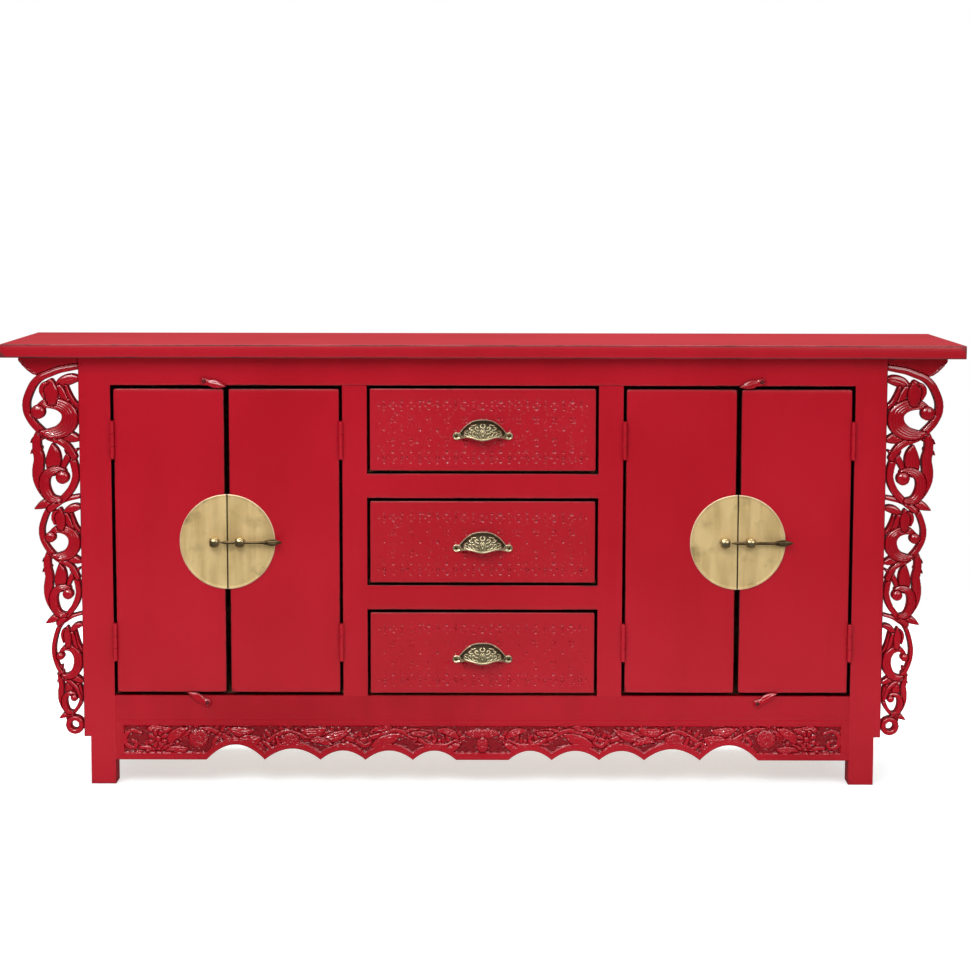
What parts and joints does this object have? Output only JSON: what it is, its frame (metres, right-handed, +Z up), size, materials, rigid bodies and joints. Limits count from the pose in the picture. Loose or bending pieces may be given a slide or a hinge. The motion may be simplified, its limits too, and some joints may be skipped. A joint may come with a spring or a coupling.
{
  "type": "sideboard",
  "caption": "Low red-lacquered sideboard with paired doors under round brass plates, carved drawers with cup pulls, a carved apron and openwork side brackets.",
  "frame": {"origin": "on the floor, under the middle of the top board", "axes": "+X to the right along the top board, -Y towards the front, +Z up"},
  "size_m": [1.8, 0.4, 0.84],
  "materials": {
    "red_lacquer": "red lacquer over a dark undercoat, satin, rubbed through at the edges",
    "carved_lacquer": "red lacquer on carved wood, dark in the recesses",
    "painted_steel": "red paint over steel",
    "plate_brass": "brushed and mottled brass",
    "old_brass": "antique brass with a dark patina",
    "plain_wood": "unfinished softwood"
  },
  "bodies": {
    "carcass": {"top_board": "red_lacquer", "top_rail": "red_lacquer", "carved_apron": "carved_lacquer", "bottom_board": "plain_wood", "back_panel": "plain_wood", "left_side_panel": "red_lacquer", "right_side_panel": "red_lacquer", "front_left_leg": "red_lacquer", "front_right_leg": "red_lacquer", "back_left_leg": "red_lacquer", "back_right_leg": "red_lacquer", "left_inner_stile": "red_lacquer", "right_inner_stile": "red_lacquer", "left_partition": "plain_wood", "right_partition": "plain_wood", "upper_drawer_rail": "red_lacquer", "middle_drawer_rail": "red_lacquer", "upper_drawer_deck": "plain_wood", "middle_drawer_deck": "plain_wood", "left_wing_bracket": "carved_lacquer", "right_wing_bracket": "carved_lacquer", "left_outer_upper_hinge_frame_leaf": "painted_steel", "left_outer_lower_hinge_frame_leaf": "painted_steel", "left_inner_upper_hinge_frame_leaf": "painted_steel", "left_inner_lower_hinge_frame_leaf": "painted_steel", "right_outer_upper_hinge_frame_leaf": "painted_steel", "right_outer_lower_hinge_frame_leaf": "painted_steel", "right_inner_upper_hinge_frame_leaf": "painted_steel", "right_inner_lower_hinge_frame_leaf": "painted_steel"},
    "left_outer_door_leaf": {"left_outer_door": "red_lacquer", "left_outer_moon_plate": "plate_brass", "left_outer_upper_hinge_door_leaf": "painted_steel", "left_outer_lower_hinge_door_leaf": "painted_steel"},
    "left_inner_door_leaf": {"left_inner_door": "red_lacquer", "left_inner_moon_plate": "plate_brass", "left_inner_upper_hinge_door_leaf": "painted_steel", "left_inner_lower_hinge_door_leaf": "painted_steel"},
    "right_outer_door_leaf": {"right_outer_door": "red_lacquer", "right_outer_moon_plate": "plate_brass", "right_outer_upper_hinge_door_leaf": "painted_steel", "right_outer_lower_hinge_door_leaf": "painted_steel"},
    "right_inner_door_leaf": {"right_inner_door": "red_lacquer", "right_inner_moon_plate": "plate_brass", "right_inner_upper_hinge_door_leaf": "painted_steel", "right_inner_lower_hinge_door_leaf": "painted_steel"},
    "left_pin": {"left_lock_pin": "plate_brass"},
    "right_pin": {"right_lock_pin": "plate_brass"},
    "upper_drawer": {"upper_drawer_front": "carved_lacquer", "upper_drawer_box": "plain_wood", "upper_cup_pull": "old_brass"},
    "middle_drawer": {"middle_drawer_front": "carved_lacquer", "middle_drawer_box": "plain_wood", "middle_cup_pull": "old_brass"},
    "lower_drawer": {"lower_drawer_front": "carved_lacquer", "lower_drawer_box": "plain_wood", "lower_cup_pull": "old_brass"},
    "upper_left_button": {"upper_left_turn_button": "red_lacquer"},
    "upper_right_button": {"upper_right_turn_button": "red_lacquer"},
    "lower_left_button": {"lower_left_turn_button": "red_lacquer"},
    "lower_right_button": {"lower_right_turn_button": "red_lacquer"}
  },
  "joints": [
    {"name": "left_outer_door_hinge", "type": "hinge", "parent": "carcass", "child": "left_outer_door_leaf", "pos_m": [-0.6956, -0.1788, 0.4671], "axis": [0, 0, -1], "range_deg": [0, 110]},
    {"name": "left_inner_door_hinge", "type": "hinge", "parent": "carcass", "child": "left_inner_door_leaf", "pos_m": [-0.2667, -0.1788, 0.4671], "axis": [0, 0, 1], "range_deg": [0, 95]},
    {"name": "right_outer_door_hinge", "type": "hinge", "parent": "carcass", "child": "right_outer_door_leaf", "pos_m": [0.6956, -0.1788, 0.4671], "axis": [0, 0, 1], "range_deg": [0, 110]},
    {"name": "right_inner_door_hinge", "type": "hinge", "parent": "carcass", "child": "right_inner_door_leaf", "pos_m": [0.2667, -0.1788, 0.4671], "axis": [0, 0, -1], "range_deg": [0, 95]},
    {"name": "left_lock_pin_slide", "type": "slide", "parent": "left_inner_door_leaf", "child": "left_pin", "axis": [1, 0, 0], "range_m": [-0.036, 0.036]},
    {"name": "right_lock_pin_slide", "type": "slide", "parent": "right_outer_door_leaf", "child": "right_pin", "axis": [1, 0, 0], "range_m": [-0.036, 0.036]},
    {"name": "upper_drawer_slide", "type": "slide", "parent": "carcass", "child": "upper_drawer", "axis": [0, -1, 0], "range_m": [0, 0.25]},
    {"name": "middle_drawer_slide", "type": "slide", "parent": "carcass", "child": "middle_drawer", "axis": [0, -1, 0], "range_m": [0, 0.25]},
    {"name": "lower_drawer_slide", "type": "slide", "parent": "carcass", "child": "lower_drawer", "axis": [0, -1, 0], "range_m": [0, 0.25]},
    {"name": "upper_left_button_turn", "type": "hinge", "parent": "carcass", "child": "upper_left_button", "pos_m": [-0.52215, -0.175, 0.7703], "axis": [0, -1, 0], "continuous": true},
    {"name": "upper_right_button_turn", "type": "hinge", "parent": "carcass", "child": "upper_right_button", "pos_m": [0.52215, -0.175, 0.7703], "axis": [0, -1, 0], "continuous": true},
    {"name": "lower_left_button_turn", "type": "hinge", "parent": "carcass", "child": "lower_left_button", "pos_m": [-0.52215, -0.175, 0.1579], "axis": [0, -1, 0], "continuous": true},
    {"name": "lower_right_button_turn", "type": "hinge", "parent": "carcass", "child": "lower_right_button", "pos_m": [0.52215, -0.175, 0.1579], "axis": [0, -1, 0], "continuous": true}
  ]
}
